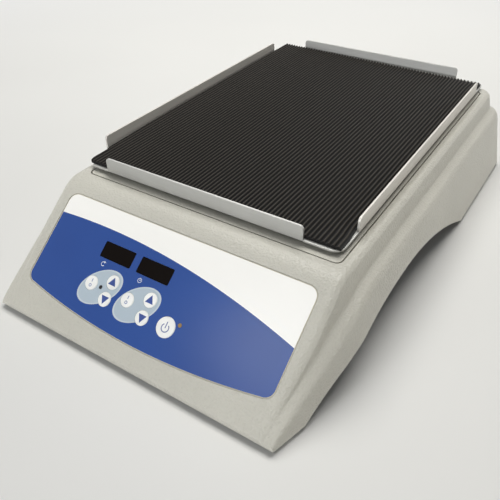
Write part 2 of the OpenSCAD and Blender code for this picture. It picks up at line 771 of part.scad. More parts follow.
module counterweight_screws() {
    color([0.6, 0.6, 0.6])
    translate([0, drive_y, 0]) rotate(rest_deg + 180) for (a = [-35, 35]) rotate(a)
        translate([cw_screw_r, 0, 0]) screw(m4_r, 3.3, 1.1, web_z + web_t + cw_t - 1.2, cw_t + 2.5);
}
arm_top = crank_z + 9;
module idler_crank() {
    color([0.66, 0.67, 0.68])
    difference() {
        union() {
            translate([0, 0, crank_z]) cylinder(r = 10, h = arm_top - crank_z);
            at_orbit() translate([0, 0, crank_z]) cylinder(r = 8, h = arm_top - crank_z);
            rotate(rest_deg + 180) translate([0, 0, crank_z]) linear_extrude(arm_top - crank_z)
                polygon(concat([[0, -10]], arc([0, 0], 18, -55, 55, 12), [[0, 10]]));
        }
        translate([0, 0, crank_z - cut]) cylinder(r = shaft_r + press_gap, h = crank_seat + cut);
        at_orbit() translate([0, 0, pin_z]) cylinder(r = shaft_r + press_gap, h = 20);
    }
}
module idler(x) {
    translate([x * idler_x, idler_y, 0]) children();
}
module idler_a_inner_rings() {
    idler(-1) crank_rings();
}
module idler_a_shaft() {
    idler(-1) shaft();
}
module idler_a_crank() {
    idler(-1) idler_crank();
}
module idler_a_pin() {
    idler(-1) crank_pin(pin_z, arm_top);
}
module idler_b_inner_rings() {
    idler(1) crank_rings();
}
module idler_b_shaft() {
    idler(1) shaft();
}
module idler_b_crank() {
    idler(1) idler_crank();
}
module idler_b_pin() {
    idler(1) crank_pin(pin_z, arm_top);
}

// What orbits: the carriage, its bearings, the posts, the tray and the mat
carriage_hub_r = bearing_r + 3.5;
carriage_w = 168;
carriage_l = 214;
module pin_bearing_outer_rings() {
    color([0.75, 0.76, 0.78]) at_orbit() for_shafts() at_pin_bearing() outer_ring();
}
module pin_bearing_balls() {
    color([0.85, 0.85, 0.87]) at_orbit() for_shafts() at_pin_bearing() balls();
}
module carriage() {
    color([0.72, 0.73, 0.75])
    at_orbit() difference() {
        union() {
            translate([0, orbit_y, 0]) plate(carriage_w, carriage_l, 14, carriage_z, carriage_t);
            for_shafts() translate([0, 0, collar_top]) cylinder(r = carriage_hub_r, h = bearing_w + 1.6);
        }
        for_shafts() {
            translate([0, 0, collar_top - cut]) cylinder(r = bearing_r + press_gap, h = bearing_w + cut);
            translate([0, 0, collar_top - cut]) cylinder(r = bearing_r - 2.5, h = bearing_w + 6);
        }
        for_posts() translate([0, 0, carriage_z - cut]) cylinder(r = m5_r + 0.1, h = carriage_t + 2 * cut);
        for (x = [-1, 1]) translate([x * 42, drive_y + 2, 0]) plate(34, 62, 8, carriage_z - cut, carriage_t + 2 * cut);
        translate([0, 78, 0]) plate(36, 92, 8, carriage_z - cut, carriage_t + 2 * cut);
    }
}
tray_z = deck_z + tray_lift;
tray_top = tray_z + tray_t;
module tray_posts() {
    color([0.72, 0.73, 0.75])
    at_orbit() for_posts() difference() {
        translate([0, 0, carriage_top]) cylinder(r = post_r, h = tray_z - carriage_top);
        translate([0, 0, carriage_top - cut]) cylinder(r = m5_r + 0.05, h = tray_z - carriage_top + 2 * cut);
    }
}
module post_screws() {
    color([0.6, 0.6, 0.6])
    at_orbit() for_posts() translate([0, 0, carriage_z]) mirror([0, 0, 1])
        screw(m5_r, 4.2, 2.2, 0, carriage_t + 5);
}
// One flange of the tray: folded up behind the line y = 0, with rounded upper ends and two holes
module tray_flange(length) {
    r = flange_end_r;
    in_r = fold_r - tray_t;
    intersection() {
        rotate([90, 0, 90]) translate([0, 0, -length / 2]) linear_extrude(length) polygon(concat(
            arc([fold_r, fold_r], fold_r, 270, 180, 8), [[0, flange_h], [tray_t, flange_h]],
            arc([fold_r, fold_r], in_r, 180, 270, 8)));
        rotate([90, 0, 0]) translate([0, 0, -fold_r - cut]) linear_extrude(fold_r + 2 * cut) difference() {
            union() {
                translate([-length / 2, -cut]) square([length, flange_h + cut - r]);
                translate([-length / 2 + r, -cut]) square([length - 2 * r, flange_h + cut]);
                for (x = [-1, 1]) translate([x * (length / 2 - r), flange_h - r]) circle(r);
            }
            for (x = [-1, 1]) translate([x * (length / 2 - flange_hole_in), flange_hole_up])
                circle(flange_hole_r);
        }
    }
}
// Places its children at two opposite edges that lie this far apart
module tray_sides(apart, turns) {
    for (a = turns) rotate(a) translate([0, -apart / 2, 0]) children();
}
module tray() {
    side_l = tray_l - 2 * flange_gap;
    end_l = tray_w - 2 * flange_gap;
    color([0.78, 0.78, 0.78])
    at_orbit() translate([0, orbit_y, tray_z]) difference() {
        union() {
            linear_extrude(tray_t) difference() {
                round_rect(tray_w, tray_l, tray_r);
                tray_sides(tray_l, [0, 180]) translate([-end_l / 2, -cut]) square([end_l, fold_r + cut]);
                tray_sides(tray_w, [90, 270]) translate([-side_l / 2, -cut]) square([side_l, fold_r + cut]);
            }
            tray_sides(tray_l, [0, 180]) tray_flange(end_l);
            tray_sides(tray_w, [90, 270]) tray_flange(side_l);
        }
        for (x = [-1, 1], y = [-1, 1]) translate([x * post_at.x, y * post_at.y, -cut]) {
            cylinder(r = m5_r + 0.1, h = tray_t + 2 * cut);
            translate([0, 0, cut]) cylinder(r1 = m5_r + 0.1, r2 = m5_r + 0.1 + tray_t, h = tray_t);
        }
    }
}
module tray_screws() {
    color([0.6, 0.6, 0.6])
    at_orbit() for_posts() {
        translate([0, 0, tray_z]) cylinder(r1 = m5_r, r2 = m5_r + tray_t - 0.05, h = tray_t - 0.05);
        translate([0, 0, tray_z - 5]) cylinder(r = m5_r, h = 5.5);
    }
}
// The mat: flat below, with a saw of ribs that run from front to rear, and cut by hand a little askew
module ribbed_mat() {
    n = floor(mat_w / rib_pitch);
    edge = (mat_w - n * rib_pitch) / 2;
    flat = mat_t - rib_h;
    w = mat_w / 2;
    l = mat_l / 2;
    color([0.14, 0.13, 0.12])
    at_orbit() translate([0, orbit_y, tray_top]) intersection() {
        translate([0, l, 0]) rotate([90, 0, 0]) linear_extrude(mat_l) polygon(concat(
            [[-w, 0], [-w, flat]],
            [for (i = [0 : n - 1], k = [0, 1, 2])
                [-w + edge + (i + [0.12, 0.5, 0.88][k]) * rib_pitch, k == 1 ? mat_t : flat]],
            [[w, flat], [w, 0]]));
        translate([0, 0, -cut]) linear_extrude(mat_t + 2 * cut) polygon([
            [-w + mat_short_front, -l - cut], [w + cut, -l - cut], [w + cut, l - mat_short_rear],
            [-w - cut, l], [-w + mat_skew, -l + mat_trim_l]]);
    }
}

// Motor and belt
motor_low = pan_top + motor_plate_t;
motor_top = belt_z - clear - flange_rim - 1.5;
motor_shaft_r = 3;
module motor() {
    color([0.2, 0.2, 0.22])
    translate([0, motor_y, 0]) difference() {
        translate([0, 0, motor_low]) rotate_extrude() polygon([
            [0, 0], [motor_r - 1.5, 0], [motor_r, 1.5], [motor_r, motor_top - motor_low - 3],
            [motor_r - 3, motor_top - motor_low - 1.2], [8, motor_top - motor_low - 1.2],
            [8, motor_top - motor_low], [0, motor_top - motor_low]]);
        translate([0, 0, motor_low + 6]) cylinder(r = motor_shaft_r + run_gap, h = motor_top);
        for (a = [0 : 45 : 315]) rotate(a) translate([motor_r, 0, motor_low + 5])
            cylinder(r = 1.2, h = 11);
    }
}
module motor_plate() {
    color([0.68, 0.69, 0.7])
    translate([0, motor_y, 0]) difference() {
        plate(motor_plate_w, motor_plate_w, 5, pan_top, motor_plate_t);
        for (x = [-1, 1], y = [-1, 1])
            translate([x * motor_slot_at.x, y * motor_slot_at.y, pan_top - cut]) {
                for (s = [-3, 3]) translate([0, s, 0]) cylinder(r = m4_r + 0.1, h = motor_plate_t + 2 * cut);
                translate([-m4_r - 0.1, -3, 0]) cube([2 * m4_r + 0.2, 6, motor_plate_t + 2 * cut]);
            }
    }
}
module motor_screws() {
    color([0.6, 0.6, 0.6])
    for_motor_bolts() screw(m4_r, 3.3, 2.4, pan_top + motor_plate_t, motor_plate_t + 2.4);
}
pulley_top = belt_z + belt_w + clear + flange_rim;
module motor_shaft() {
    color([0.75, 0.76, 0.78])
    translate([0, motor_y, motor_low + 6.3]) cylinder(r = motor_shaft_r, h = pulley_top + 1 - motor_low - 6.3);
}
module motor_pulley() {
    low = belt_z - clear - flange_rim;
    color([0.8, 0.8, 0.8])
    translate([0, motor_y, 0])
        pulley_rim(small_pulley_r, motor_shaft_r + press_gap, low, pulley_top - low);
}
// Outline round both pulleys at a distance from their belt radii
function belt_loop(grow) =
    let (c = motor_y - drive_y, wide = big_pulley_r + grow, tight = small_pulley_r + grow)
    let (turn = asin((wide - tight) / c))
    concat(arc([0, drive_y], wide, 180 - turn, 360 + turn, 48), arc([0, motor_y], tight, turn, 180 - turn, 20));
module drive_belt() {
    color([0.12, 0.12, 0.12])
    translate([0, 0, belt_z]) linear_extrude(belt_w) difference() {
        polygon(belt_loop(clear + belt_t));
        polygon(belt_loop(clear));
    }
}

// Power
inlet_depth = 22;
socket = [24.2, 16.4, 16];
// The pins start this far inside the socket's mouth
pin_in = 5;
module power_inlet() {
    color([0.08, 0.08, 0.08])
    translate([inlet_x, rear_y + inlet_flange_t, inlet_z]) rotate([90, 0, 0]) difference() {
        union() {
            linear_extrude(inlet_flange_t) round_rect(48, 24, 4);
            linear_extrude(inlet_depth) round_rect(inlet_hole.x - 0.4, inlet_hole.y - 0.4, 1.8);
        }
        translate([0, 0, -cut]) linear_extrude(socket.z + cut) difference() {
            round_rect(socket.x, socket.y, 1.5);
            for (x = [-1, 1]) translate([x * socket.x / 2, socket.y / 2]) rotate(45) square(5, center = true);
        }
        for (x = [-1, 1]) translate([x * inlet_screw_x, 0, -cut]) {
            cylinder(r = m3_r + 0.1, h = 5);
            translate([0, 0, cut]) cylinder(r1 = m3_r + 0.1 + 1.4, r2 = m3_r + 0.1, h = 1.4);
        }
    }
}
module inlet_pins() {
    color([0.8, 0.75, 0.6])
    translate([inlet_x, rear_y + inlet_flange_t, inlet_z]) rotate([90, 0, 0])
        for (p = [[-7, -2.5], [7, -2.5], [0, 2.5]])
            translate([p.x, p.y, pin_in]) linear_extrude(socket.z - pin_in) square([2, 4], center = true);
}
module inlet_screws() {
    color([0.6, 0.6, 0.6])
    translate([inlet_x, rear_y + inlet_flange_t, inlet_z]) rotate([90, 0, 0])
        for (x = [-1, 1]) translate([x * inlet_screw_x, 0, 0]) {
            cylinder(r1 = m3_r + 1.35, r2 = m3_r, h = 1.35);
            cylinder(r = m3_r, h = 6);
        }
}
power_board_z = pan_top + 5;
module power_board() {
    w = power_board_size.x;
    l = power_board_size.y;
    color([0.12, 0.35, 0.22])
    translate([power_board_at.x, power_board_at.y, power_board_z]) difference() {
        union() {
            translate([-w / 2, -l / 2, 0]) cube([w, l, board_t]);
            translate([-w / 2 + 9, -l / 2 + 6, board_t - 0.1]) cube([26, 24, 19]);
            for (x = [12, 23]) translate([x, l / 2 - 15, board_t - 0.1]) cylinder(r = 5, h = 17);
            translate([5, -l / 2 + 3, board_t - 0.1]) cube([14, 8, 10]);
        }
        for (x = [-1, 1], y = [-1, 1]) translate([x * (w / 2 - 4), y * (l / 2 - 4), -cut])
            cylinder(r = 1.6, h = board_t + 2 * cut);
    }
}
// Routes of the inner leads, points chosen by hand
mains_route = [[45, 175.7, 32], [45, 168, 31.5], [38, 162, 28], [24, 160, 21], [6, 160, 16.5], [-8, 160, 15],
    [-20, 160, 14.5]];
motor_route = [[0, 108.5, 20], [0, 115, 19], [-6, 122, 15], [-14, 128, 14.4], [-18, 133, 14.2], [-21, 138, 14.2]];
panel_route = [[-58, 138, 14.2], [-64, 132, 13.8], [-76, 128, 10], [-88, 124, 7.8], [-93.4, 114, 7.5],
    [-93.4, 60, 7.5], [-93.4, 0, 7.5], [-92, -60, 7.5], [-84, -110, 9], [-70, -136, 14], [-58, -146, 20],
    [-50, -152, 24.8]];
function ring_at(path, i, r, sides) =
    let (a = path[max(0, i - 1)], b = path[min(len(path) - 1, i + 1)], d = (b - a) / norm(b - a))
    let (s = cross(d, [0, 0, 1]) / norm(cross(d, [0, 0, 1])), u = cross(s, d))
    [for (k = [0 : sides - 1]) path[i] + r * (cos(360 * k / sides) * s - sin(360 * k / sides) * u)];
module lead(path, r) {
    loft([for (i = [0 : len(path) - 1]) ring_at(path, i, r, 8)]);
}
module wiring() {
    color([0.5, 0.1, 0.1]) {
        lead(mains_route, 2.2);
        lead(motor_route, 1.8);
        lead(panel_route, 1.8);
    }
}

housing();
deck_plate();
base_pan();
rubber_feet();
foot_screws();
case_screws();
control_overlay();
speed_window();
time_window();
speed_power_key();
speed_up_key();
speed_down_key();
time_power_key();
time_up_key();
time_down_key();
standby_key();
running_light();
standby_light();
control_board();
display_modules();
key_switches();
board_screws();
main_bearing_block();
idler_bearing_blocks();
block_screws();
shaft_bearing_outer_rings();
shaft_bearing_balls();
main_inner_rings();
main_shaft();
drive_pulley();
counterweight();
counterweight_screws();
main_crank_pin();
idler_a_inner_rings();
idler_a_shaft();
idler_a_crank();
idler_a_pin();
idler_b_inner_rings();
idler_b_shaft();
idler_b_crank();
idler_b_pin();
pin_bearing_outer_rings();
pin_bearing_balls();
carriage();
tray_posts();
post_screws();
tray();
tray_screws();
ribbed_mat();
motor();
motor_plate();
motor_screws();
motor_shaft();
motor_pulley();
drive_belt();
power_inlet();
inlet_pins();
inlet_screws();
power_board();
wiring();
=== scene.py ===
import math

import bmesh
import bpy
from mathutils import Matrix, Vector


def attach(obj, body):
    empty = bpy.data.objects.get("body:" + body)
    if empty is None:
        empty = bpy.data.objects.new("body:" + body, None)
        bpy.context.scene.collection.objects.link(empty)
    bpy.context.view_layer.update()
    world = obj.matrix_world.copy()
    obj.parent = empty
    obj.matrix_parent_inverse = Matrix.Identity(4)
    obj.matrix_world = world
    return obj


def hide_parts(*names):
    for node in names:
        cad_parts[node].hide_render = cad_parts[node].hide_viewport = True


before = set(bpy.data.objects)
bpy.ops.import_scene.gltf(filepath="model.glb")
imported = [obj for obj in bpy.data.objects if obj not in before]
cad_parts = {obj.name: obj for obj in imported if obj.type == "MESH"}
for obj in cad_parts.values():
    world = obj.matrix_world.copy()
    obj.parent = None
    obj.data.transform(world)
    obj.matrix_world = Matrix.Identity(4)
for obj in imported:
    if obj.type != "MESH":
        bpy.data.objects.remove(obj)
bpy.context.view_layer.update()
MM = 0.001

# Sizes shared with the CAD, in mm
FRONT_Y = -198.0
REAR_Y = 196.2
DECK_Z = 66.4
EDGE_Z = 3.0
LIP_Z = 6.2
SLOPE = math.radians(37.2)
LEAN = math.tan(math.radians(12.7))
WALL = 2.6
HALF_W = 131.0
HALF_OPEN = 102.0
BEND_Y = FRONT_Y + (DECK_Z - LIP_Z) / math.tan(SLOPE)
BEND_HALF = 7.0
NOSE_BAND, BAND = 2.4, 16.2  # heights of the side's stepped band
NOSE_X = 111.3
SHOULDER_X = HALF_W - LEAN * (DECK_Z - BAND - EDGE_Z)
FADE = 62.0
CORNER_R = 14.0
REAR_EDGE_R = 5.0
ARCH_Y, ARCH_HALF, ARCH_RISE = -52.0, 122.0, 29.0
INLET_X, INLET_Z = 45.0, 32.0
DECK_Y, DECK_W, DECK_L, DECK_GAP, DECK_TUCK = 39.0, 202.0, 292.0, 1.0, 4.5
DRIVE_Y, POST_X, POST_Y, POST_HOLE_R = 44.5, 66.0, 88.0, 17.5
ORBIT_R, REST_ANGLE = 7.5, math.radians(153.3)
TRAY_C = (ORBIT_R * math.cos(REST_ANGLE), DRIVE_Y + ORBIT_R * math.sin(REST_ANGLE))
TRAY_Z = 68.6
TRAY_W, TRAY_L, TRAY_T = 212.0, 300.0, 1.5
FLANGE_H, FLANGE_GAP, FLANGE_ROOT = 11.3, 25.5, 1.7

# Places on the sloping front, across it and up the slope
WINDOWS = {"speed": (-39, 61.6), "time": (-6.9, 61.6)}
WINDOW_W, WINDOW_H = 26.3, 11.1
KEYS = {"speed_power": (-47.9, 37.5), "speed_up": (-32.2, 43.6), "speed_down": (-32.4, 31.4),
        "time_power": (-16.0, 37.4), "time_up": (-0.2, 43.5), "time_down": (-0.2, 31.2)}
STANDBY = (18.4, 32.6)
KEY_R, STANDBY_R = 5.0, 6.8
LIGHTS = ((-39.5, 37.4), (26.9, 37.3))
PADS = ((-40.2, 37.4), (-8.0, 37.3))
PAD_HALF_L, PAD_HALF_W, PAD_TILT = 17.8, 11.1, math.radians(37)
ARC_X, ARC_TOP, ARC_DROP = -58.0, 75.7, 0.000897  # the printed arc's summit and its fall


# Small tools
def srgb(r, g, b):
    """A colour given as the eye sees it, 0 to 255, as the linear value that a shader takes."""
    def one(c):
        c /= 255
        return c / 12.92 if c <= 0.04045 else ((c + 0.055) / 1.055) ** 2.4
    return (one(r), one(g), one(b), 1.0)


def add_object(name, data):
    obj = bpy.data.objects.new(name, data)
    bpy.context.scene.collection.objects.link(obj)
    return obj


def mesh_object(name, verts, faces):
    """An object from points in mm."""
    data = bpy.data.meshes.new(name)
    data.from_pydata([tuple(c * MM for c in v) for v in verts], [], faces)
    data.validate()
    data.update()
    return add_object(name, data)


def tube_faces(n, rows):
    """The faces of a closed tube through rows of n points, with its two ends."""
    faces = [[j * n + i, (j + 1) * n + i, (j + 1) * n + (i + 1) % n, j * n + (i + 1) % n]
             for j in range(rows - 1) for i in range(n)]
    return faces + [list(range(n)), [(rows - 1) * n + i for i in range(n - 1, -1, -1)]]


def face_out(obj):
    """Turns all the faces of a closed mesh outwards."""
    bm = bmesh.new()
    bm.from_mesh(obj.data)
    bmesh.ops.recalc_face_normals(bm, faces=bm.faces)
    bm.to_mesh(obj.data)
    bm.free()
    return obj


def apply_modifiers(obj):
    """Turns what the modifiers make into the object's own mesh."""
    bpy.context.view_layer.update()
    seen = obj.evaluated_get(bpy.context.evaluated_depsgraph_get())
    data = bpy.data.meshes.new_from_object(seen)
    old = obj.data
    obj.modifiers.clear()
    obj.data = data
    if old.users == 0:
        bpy.data.meshes.remove(old)
    return obj


def cut(obj, *tools, operation="DIFFERENCE"):
    """Cuts the tools out of an object, or joins or meets them with it, and deletes them."""
    for tool in tools:
        m = obj.modifiers.new("cut", "BOOLEAN")
        m.operation = operation
        m.solver = "EXACT"
        m.object = tool
    apply_modifiers(obj)
    for tool in tools:
        bpy.data.objects.remove(tool)
    return obj


def bevel(obj, width, segments=2, angle=40):
    m = obj.modifiers.new("edge", "BEVEL")
    m.width = width * MM
    m.segments = segments
    m.limit_method = "ANGLE"
    m.angle_limit = math.radians(angle)
    m.use_clamp_overlap = True
    return apply_modifiers(obj)


def tidy(obj, flat=0.4):
    """Merges doubled points and joins faces that lie in one plane."""
    bm = bmesh.new()
    bm.from_mesh(obj.data)
    bmesh.ops.remove_doubles(bm, verts=bm.verts, dist=1e-6)
    bmesh.ops.dissolve_limit(bm, angle_limit=math.radians(flat), verts=bm.verts, edges=bm.edges)
    bm.to_mesh(obj.data)
    bm.free()
    return obj


def smooth(obj, angle=40):
    """Smooth shading between faces that meet at less than the angle."""
    data = obj.data
    data.polygons.foreach_set("use_smooth", [True] * len(data.polygons))
    data.set_sharp_from_angle(angle=math.radians(angle))
    m = obj.modifiers.new("normals", "WEIGHTED_NORMAL")
    m.mode = "FACE_AREA"
    m.weight = 100
    m.keep_sharp = True
    return apply_modifiers(obj)


def dress(obj, material, body, slot, *nodes):
    """Gives a new piece its material and body, and hides the CAD nodes that it stands for. The slot is not
    used.
    """
    obj.data.materials.clear()
    obj.data.materials.append(material)
    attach(obj, body)
    if nodes:
        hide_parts(*nodes)
    return obj


def prism(name, outline, low, high, place=lambda x, y, z: (x, y, z)):
    """A closed prism over an outline of (x, y) points between two heights, moved by place."""
    n = len(outline)
    verts = [place(x, y, low) for x, y in outline] + [place(x, y, high) for x, y in outline]
    faces = [list(range(n))[::-1], list(range(n, 2 * n))]
    faces += [[i, (i + 1) % n, n + (i + 1) % n, n + i] for i in range(n)]
    return mesh_object(name, verts, faces)


def arc(cx, cy, r, a, b, steps):
    """Points on an arc from angle a to angle b, in degrees."""
    turns = [math.radians(a + (b - a) * i / steps) for i in range(steps + 1)]
    return [(cx + r * math.cos(t), cy + r * math.sin(t)) for t in turns]


def circle(cx, cy, r, steps=48):
    return arc(cx, cy, r, 0, 360 * (steps - 1) / steps, steps - 1)


def round_rect(w, l, r, cx, cy):
    x, y = w / 2 - r, l / 2 - r
    return (arc(cx + x, cy + y, r, 0, 90, 8) + arc(cx - x, cy + y, r, 90, 180, 8)
            + arc(cx - x, cy - y, r, 180, 270, 8) + arc(cx + x, cy - y, r, 270, 360, 8))


def on_panel(x, y, z):
    """From places on the sloping front (across, up the slope, out of it) to the row frame."""
    return (x, FRONT_Y + y * math.cos(SLOPE) - z * math.sin(SLOPE),
            LIP_Z + y * math.sin(SLOPE) + z * math.cos(SLOPE))


# Materials
class Shader:
    """A node material with a Principled shader, and short ways to add the usual nodes."""

    def __init__(self, name, rough=0.5, metal=0.0, **sockets):
        self.material = bpy.data.materials.new(name)
        self.material.use_nodes = True
        self.tree = self.material.node_tree
        self.main = self.tree.nodes["Principled BSDF"]
        self.main.inputs["Roughness"].default_value = rough
        self.main.inputs["Metallic"].default_value = metal
        for key, value in sockets.items():
            self.main.inputs[key.replace("_", " ")].default_value = value
        self.place = self.node("ShaderNodeTexCoord").outputs["Object"]

    def node(self, kind, **values):
        n = self.tree.nodes.new(kind)
        for key, value in values.items():
            setattr(n, key, value)
        return n

    def link(self, a, b):
        self.tree.links.new(a, b)

    def math(self, operation, a, b):
        n = self.node("ShaderNodeMath", operation=operation)
        for socket, value in zip(n.inputs, (a, b)):
            if hasattr(value, "is_output"):
                self.link(value, socket)
            else:
                socket.default_value = value
        return n.outputs[0]

    def axes(self):
        n = self.node("ShaderNodeSeparateXYZ")
        self.link(self.place, n.inputs[0])
        return n.outputs

    def map_range(self, source, ends, result=(0.0, 1.0), **values):
        """Carries the values between two ends over to another range."""
        n = self.node("ShaderNodeMapRange", **values)
        for key, value in zip(("From Min", "From Max", "To Min", "To Max"), (*ends, *result)):
            n.inputs[key].default_value = value
        self.link(source, n.inputs["Value"])
        return n.outputs["Result"]

    def stretched(self, sx, sy, sz):
        n = self.node("ShaderNodeMapping")
        n.inputs["Scale"].default_value = (sx, sy, sz)
        self.link(self.place, n.inputs["Vector"])
        return n.outputs["Vector"]

    def noise(self, scale, detail=2.0, rough=0.5, vector=None):
        n = self.node("ShaderNodeTexNoise")
        n.inputs["Scale"].default_value = scale
        n.inputs["Detail"].default_value = detail
        n.inputs["Roughness"].default_value = rough
        self.link(vector or self.place, n.inputs["Vector"])
        return n.outputs["Fac"]

    def ramp(self, fac, stops):
        n = self.node("ShaderNodeValToRGB")
        ramp = n.color_ramp
        while len(ramp.elements) < len(stops):
            ramp.elements.new(0.5)
        for e, (pos, color) in zip(ramp.elements, stops):
            e.position = pos
            e.color = color
        self.link(fac, n.inputs["Fac"])
        return n.outputs["Color"]

    def mix(self, fac, a, b, blend="MIX"):
        n = self.node("ShaderNodeMix", data_type="RGBA", blend_type=blend)
        for key, value in ((0, fac), (6, a), (7, b)):  # the sockets of the colour kind
            if hasattr(value, "is_output"):
                self.link(value, n.inputs[key])
            else:
                n.inputs[key].default_value = value
        return n.outputs[2]

    def color(self, source):
        self.link(source, self.main.inputs["Base Color"])

    def rough(self, source, low, high):
        self.link(self.map_range(source, (0.0, 1.0), (low, high)), self.main.inputs["Roughness"])

    def bump(self, height, strength, distance):
        n = self.node("ShaderNodeBump")
        n.inputs["Strength"].default_value = strength
        n.inputs["Distance"].default_value = distance
        self.link(height, n.inputs["Height"])
        self.link(n.outputs["Normal"], self.main.inputs["Normal"])


def shade(rgb, k):
    """A colour made darker or lighter by a factor."""
    return srgb(*[max(0, min(255, c * k)) for c in rgb])


def pebbled_plastic(name, rgb, grain=760, depth=0.0006, rough=(0.25, 0.36)):
    """Moulded plastic with the fine pebble texture of the case; the pebble hollows are painted a little
    darker, as painted shade.
    """
    s = Shader(name, rough=0.5)
    cloud = s.noise(14, 3)
    pebble = s.noise(grain, 1, 0.5)
    # Painted shade: the low points of the pebble bump are made up to 3.5 % darker
    hollow_shade = s.ramp(pebble, [(0.34, (0.965, 0.965, 0.965, 1)), (0.5, (1, 1, 1, 1))])
    tone = s.ramp(cloud, [(0.25, shade(rgb, 0.975)), (0.75, shade(rgb, 1.02))])
    s.color(s.mix(1.0, tone, hollow_shade, "MULTIPLY"))
    s.rough(pebble, *rough)
    s.bump(pebble, 0.9, depth)
    return s.material


def plain_plastic(name, rgb, rough=0.4, grain=900, depth=0.00003, **sockets):
    """Smooth plastic, paint or ink with a faint grain."""
    s = Shader(name, rough=rough, **sockets)
    s.color(s.ramp(s.noise(40, 2), [(0.2, shade(rgb, 0.94)), (0.8, shade(rgb, 1.04))]))
    fine = s.noise(grain, 2)
    s.rough(fine, rough - 0.06, rough + 0.08)
    s.bump(fine, 0.3, depth)
    return s.material


def metal(name, rgb, rough=0.3, along=(1, 1, 1), depth=0.00002, streak=0.06, metallic=1.0):
    """Metal with fine streaks, drawn out along the axes whose factor is small."""
    s = Shader(name, metal=metallic)
    lines = s.noise(1.0, 3, 0.6, s.stretched(*[900 * a for a in along]))
    cloud = s.noise(25, 2)
    tone = s.math("ADD", s.math("MULTIPLY", lines, 0.6), s.math("MULTIPLY", cloud, 0.4))
    s.color(s.ramp(tone, [(0.3, shade(rgb, 1 - streak)), (0.7, shade(rgb, 1 + streak))]))
    s.rough(lines, rough - 0.07, rough + 0.1)
    s.bump(lines, 0.25, depth)
    return s.material


def rubber(name, rgb, rough=0.62, grain=2200, depth=0.00006):
    s = Shader(name, rough=rough)
    s.color(s.ramp(s.noise(300, 3), [(0.3, shade(rgb, 0.85)), (0.7, shade(rgb, 1.15))]))
    fine = s.noise(grain, 2)
    s.rough(fine, rough - 0.08, rough + 0.1)
    s.bump(fine, 0.4, depth)
    return s.material


# One material for each kind of surface
M = {
    "case": pebbled_plastic("case_plastic", (196, 194, 184)),
    "deck": pebbled_plastic("deck_plastic", (195, 193, 183), depth=0.00035),
    "pan": metal("painted_pan", (66, 68, 70), 0.5, (1, 1, 1)),
    "feet": rubber("foot_rubber", (30, 30, 30)),
    "zinc": metal("zinc_screw", (178, 178, 174), 0.32),
    "window": plain_plastic("dark_window", (12, 7, 5), 0.3, 300, 0.000005,
                            Specular_IOR_Level=0.05),
    "dark_lens": plain_plastic("dark_lens", (14, 14, 15), 0.2),
    "amber_lens": plain_plastic("amber_lens", (150, 118, 62), 0.3),
    "board": plain_plastic("circuit_board", (28, 92, 58), 0.4),
    "display": plain_plastic("display_body", (216, 216, 208), 0.5),
    "black": plain_plastic("black_plastic", (26, 26, 27), 0.42),
    "cast": metal("cast_aluminium", (178, 180, 184), 0.45, (0.6, 0.6, 0.6), 0.00006),
    "ground": metal("bearing_steel", (200, 202, 206), 0.18),
    "shaft": metal("shaft_steel", (168, 170, 174), 0.25, (1, 1, 0.1)),
    "pulley": plain_plastic("pulley_plastic", (58, 58, 60), 0.5),
    "iron": metal("balance_iron", (92, 93, 96), 0.5),
    "belt": rubber("belt_rubber", (32, 32, 32)),
    "brass": metal("pin_brass", (208, 196, 150), 0.25),
    "lead": plain_plastic("lead_skin", (120, 30, 28), 0.5),
    "key": plain_plastic("key_plastic", (246, 246, 243), 0.3, 500, 0.00001),
    "ink": plain_plastic("blue_ink", (46, 72, 142), 0.4),
    "faint_ink": plain_plastic("grey_ink", (134, 146, 182), 0.4),
    "white_ink": plain_plastic("white_ink", (226, 230, 240), 0.4),
    "tray_x": metal("tray_sheet", (180, 180, 177), 0.46, (0.04, 1, 1), 0.00001, 0.03, 0.78),
    # The side flanges' copy of the tray sheet is painted lighter and warmer: painted light, for the light the
    # sides catch. Its grain runs along the sides
    "tray_sides_lit": metal("tray_sheet_sides_lit", (206, 203, 197), 0.5, (1, 0.04, 1), 0.00001, 0.03, 0.5),
    "film_edge": plain_plastic("film_edge", (214, 208, 190)),
}


def film_material():
    """The printed front: white above an arc, blue below, with two pale ovals round the keys."""
    s = Shader("overlay_film", rough=0.24, Specular_IOR_Level=0.42)
    place = s.axes()
    u, y = [s.math("MULTIPLY", place[axis], 1 / MM) for axis in "XY"]
    v = s.math("DIVIDE", s.math("SUBTRACT", y, FRONT_Y), math.cos(SLOPE))
    du = s.math("SUBTRACT", u, ARC_X)
    fall = s.math("MULTIPLY", s.math("MULTIPLY", du, du), ARC_DROP)
    edge = s.math("SUBTRACT", ARC_TOP, fall)
    below = s.math("LESS_THAN", v, edge)
    cloud = s.noise(18, 2)
    blue = s.ramp(cloud, [(0.2, srgb(17, 64, 139)), (0.8, srgb(25, 71, 148))])
    white = s.ramp(cloud, [(0.2, srgb(249, 248, 244)), (0.8, srgb(253, 252, 248))])
    print_color = s.mix(below, white, blue)
    c, n = math.cos(PAD_TILT), math.sin(PAD_TILT)
    for cx, cy in PADS:
        a, b = s.math("SUBTRACT", u, cx), s.math("SUBTRACT", v, cy)
        p = s.math("ADD", s.math("MULTIPLY", a, c / PAD_HALF_L), s.math("MULTIPLY", b, n / PAD_HALF_L))
        q = s.math("ADD", s.math("MULTIPLY", a, -n / PAD_HALF_W), s.math("MULTIPLY", b, c / PAD_HALF_W))
        r = s.math("ADD", s.math("MULTIPLY", p, p), s.math("MULTIPLY", q, q))
        pad = s.mix(s.math("GREATER_THAN", r, 0.86), srgb(178, 192, 203), srgb(196, 206, 213))
        print_color = s.mix(s.math("LESS_THAN", r, 1.0), print_color, pad)
    s.color(print_color)
    s.bump(s.noise(700, 2), 0.15, 0.00002)
    return s.material


